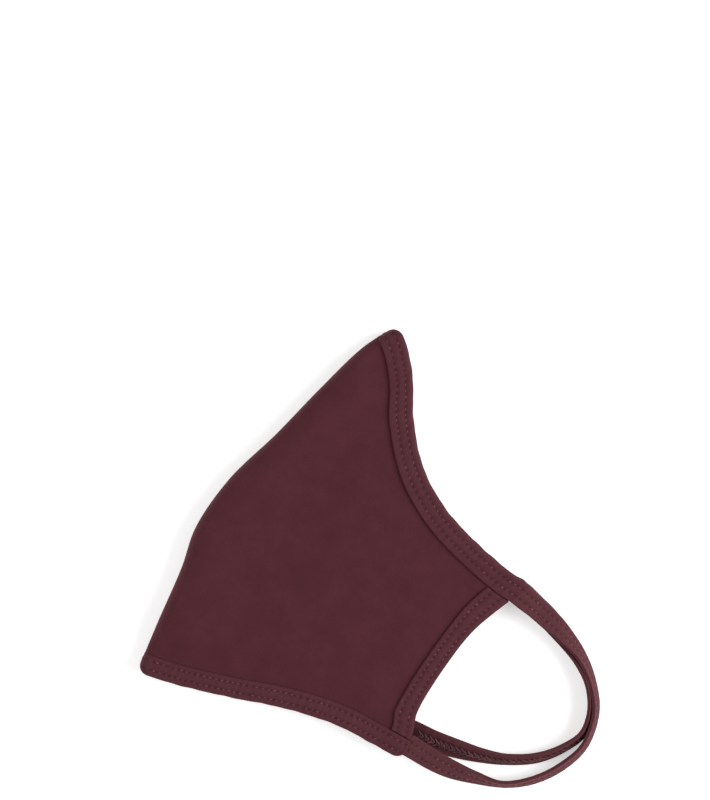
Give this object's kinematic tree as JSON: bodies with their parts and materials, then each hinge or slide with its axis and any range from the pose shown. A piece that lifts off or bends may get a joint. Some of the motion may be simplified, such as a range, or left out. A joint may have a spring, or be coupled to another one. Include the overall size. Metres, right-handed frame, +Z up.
{
  "type": "cloth face mask",
  "caption": "Contoured jersey face mask folded flat at its centre front, with bound nose, chin and side edges and self-fabric ear loops.",
  "frame": {"origin": "on the surface it lies on, under the middle of the whole folded mask", "axes": "+X from the front seam to the ear loops, +Y from the chin to the nose, +Z up, through the folded halves from the right half to the left"},
  "size_m": [0.1786, 0.1708, 0.0114],
  "materials": {
    "panel_jersey": "fine single jersey, matt",
    "binding_jersey": "fine single jersey, folded and coverstitched",
    "loop_jersey": "fine single jersey, folded and coverstitched"
  },
  "bodies": {
    "root": {"left_panel": "panel_jersey", "right_panel": "panel_jersey", "nose_binding": "binding_jersey", "chin_binding": "binding_jersey", "left_side_binding": "binding_jersey", "right_side_binding": "binding_jersey", "left_ear_loop": "loop_jersey", "right_ear_loop": "loop_jersey"}
  },
  "joints": []
}
